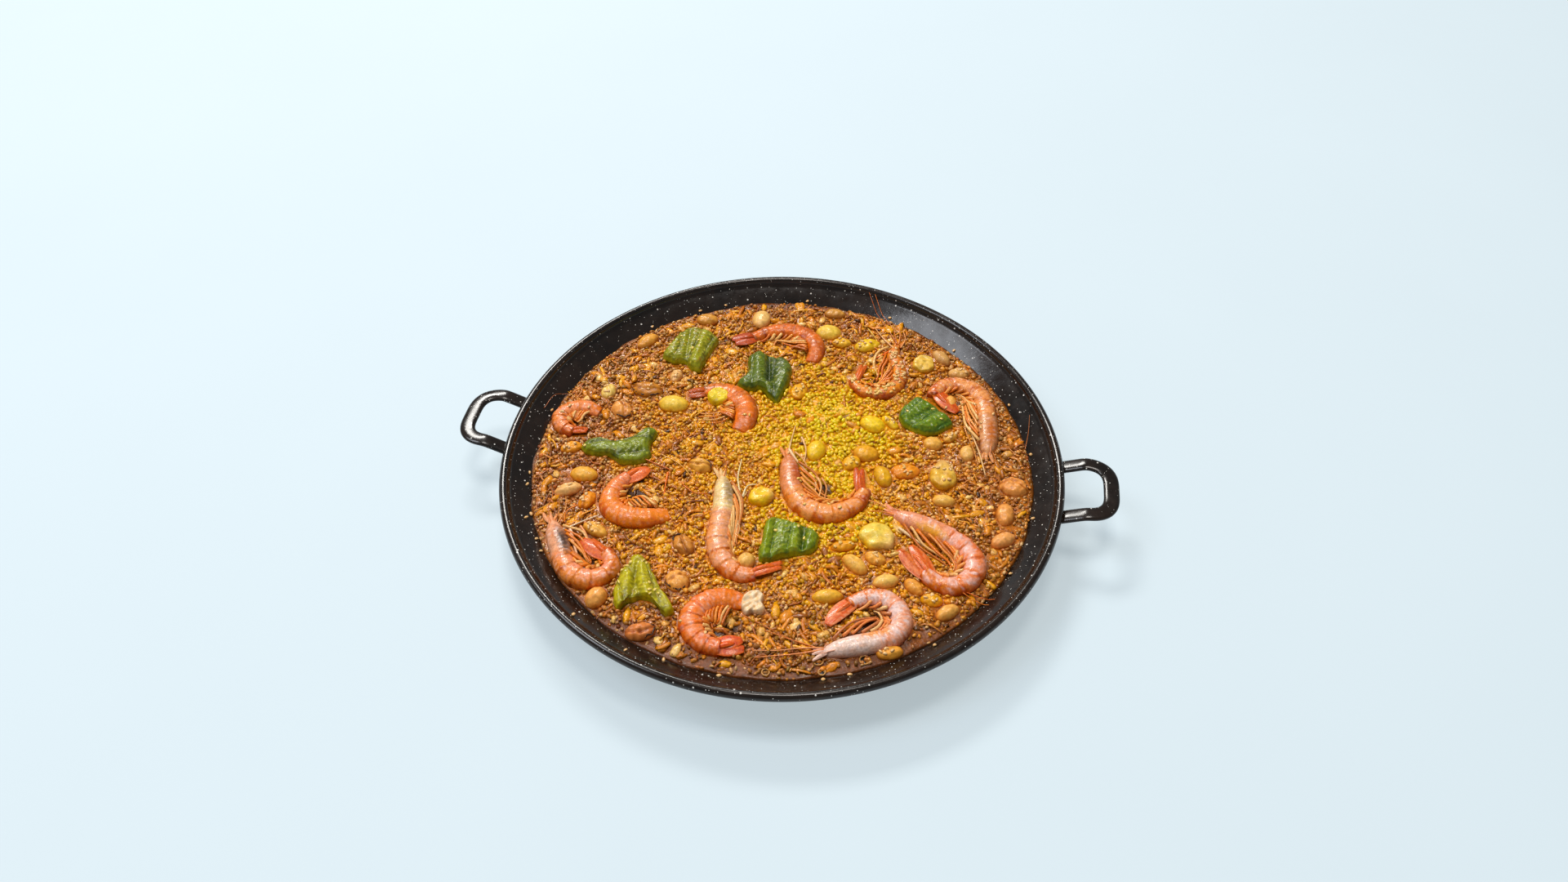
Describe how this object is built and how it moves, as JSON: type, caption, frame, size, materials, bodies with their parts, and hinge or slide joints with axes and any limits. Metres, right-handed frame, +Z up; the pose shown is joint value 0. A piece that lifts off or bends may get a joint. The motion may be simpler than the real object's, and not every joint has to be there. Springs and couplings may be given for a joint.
{
  "type": "seafood paella in its two-handled pan",
  "caption": "Seafood paella in a wide shallow enamelled steel pan with two loop handles: yellow rice with prawns, mussels, green pepper pieces and beans on top.",
  "frame": {"origin": "centre of the pan's flat base, on the surface it stands on", "axes": "+Z up, square to the base; +Y away from the viewer, and the line through the two handles is turned 9.3 degrees clockwise from X, seen from above"},
  "size_m": [0.6482, 0.5516, 0.0538],
  "materials": {
    "enamel": "glossy black vitreous enamel with sparse uneven white specks",
    "rice": "moist cooked rice, saffron yellow in the middle and browner towards the rim",
    "prawn": "wet cooked shell, orange-pink, paler on the head",
    "pepper": "soft cooked green pepper skin, ribbed and shiny, with brown blisters",
    "vegetable_slice": "moist yellow slice",
    "mussel": "wet orange mussel flesh with a dark frill",
    "vegetable_chunk": "soft cooked yellow vegetable",
    "bean": "soft wrinkled flat bean, oily"
  },
  "bodies": {
    "root": {"pan": "enamel", "handle_right": "enamel", "handle_left": "enamel", "rice": "rice", "prawn_1": "prawn", "prawn_2": "prawn", "prawn_3": "prawn", "prawn_4": "prawn", "prawn_5": "prawn", "prawn_6": "prawn", "prawn_7": "prawn", "prawn_8": "prawn", "prawn_9": "prawn", "prawn_10": "prawn", "prawn_11": "prawn", "prawn_12": "prawn", "pepper_1": "pepper", "pepper_2": "pepper", "pepper_3": "pepper", "pepper_4": "pepper", "pepper_5": "pepper", "pepper_6": "pepper", "slice_1": "vegetable_slice", "slice_2": "vegetable_slice", "mussel_1": "mussel", "mussel_2": "mussel", "mussel_3": "mussel", "mussel_4": "mussel", "mussel_5": "mussel", "mussel_6": "mussel", "mussel_7": "mussel", "chunk_1": "vegetable_chunk", "chunk_2": "vegetable_chunk", "chunk_3": "vegetable_chunk", "bean_1": "bean", "bean_2": "bean", "bean_3": "bean", "bean_4": "bean", "bean_5": "bean", "bean_6": "bean", "bean_7": "bean", "bean_8": "bean", "bean_9": "bean", "bean_10": "bean", "bean_11": "bean", "bean_12": "bean", "bean_13": "bean", "bean_14": "bean", "bean_15": "bean", "bean_16": "bean", "bean_17": "bean", "bean_18": "bean", "bean_19": "bean", "bean_20": "bean", "bean_21": "bean", "bean_22": "bean", "bean_23": "bean", "bean_24": "bean", "bean_25": "bean", "bean_26": "bean"}
  },
  "joints": []
}
